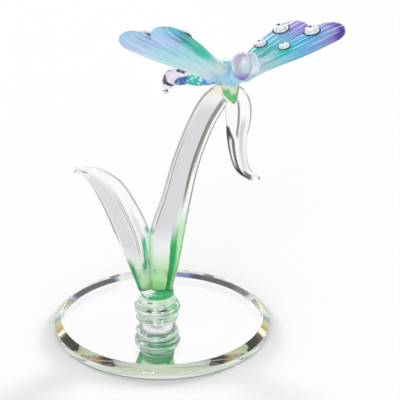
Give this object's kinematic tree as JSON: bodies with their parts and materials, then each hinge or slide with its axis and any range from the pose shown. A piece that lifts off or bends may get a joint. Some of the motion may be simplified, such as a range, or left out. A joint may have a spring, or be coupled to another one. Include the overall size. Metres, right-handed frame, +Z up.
{
  "type": "dragonfly figurine",
  "caption": "Flame-worked glass dragonfly with crystal-set wings on a bent clear blade with leaves, rising from a ringed foot on a round bevelled mirror base.",
  "frame": {"origin": "middle of the round mirror base, on its underside", "axes": "+Z up, -Y towards the front that the picture shows, +X to the right as seen from the front"},
  "size_m": [0.1013, 0.0762, 0.1221],
  "materials": {
    "mirror_paint": "grey protective paint over the silvering",
    "mirror": "bevelled float-glass mirror, silvered on its underside",
    "glue": "clear cured adhesive film",
    "clear_glass": "clear flame-worked glass, glossy",
    "green_tint": "clear glass with green colour drawn into it, glossy",
    "green_glass": "translucent green glass, glossy",
    "thorax_glass": "milky sky-blue glass, glossy",
    "head_glass": "milky lavender-blue glass, glossy",
    "blue_glass": "transparent blue glass, glossy",
    "teal_glass": "transparent teal glass, glossy",
    "tail_glass": "clear glass with a faint lavender tint, glossy",
    "wing_glass": "milky glass streaked teal, sky blue, lavender and purple, glossy",
    "crystal": "faceted flat-back cut-glass crystal, foil-backed"
  },
  "bodies": {
    "root": {"mirror_backing": "mirror_paint", "mirror_glass": "mirror", "foot_glue": "glue", "foot_ring_lower": "clear_glass", "foot_ring_upper": "clear_glass", "foot_neck": "green_tint", "main_blade": "clear_glass", "side_leaf": "clear_glass", "side_leaf_tip": "clear_glass", "drooping_leaf": "clear_glass", "green_saddle": "green_glass", "thorax": "thorax_glass", "eye_right": "head_glass", "eye_left": "head_glass", "abdomen_1": "blue_glass", "abdomen_2": "teal_glass", "abdomen_3": "blue_glass", "tail_curl": "tail_glass", "tail_ball": "tail_glass", "wing_right_fore": "wing_glass", "crystal_right_fore_large": "crystal", "crystal_right_fore_small": "crystal", "wing_right_hind": "wing_glass", "crystal_right_hind_large": "crystal", "crystal_right_hind_small": "crystal", "wing_left_fore": "wing_glass", "crystal_left_fore_large": "crystal", "crystal_left_fore_small": "crystal", "wing_left_hind": "wing_glass", "crystal_left_hind_large": "crystal", "crystal_left_hind_small": "crystal"}
  },
  "joints": []
}
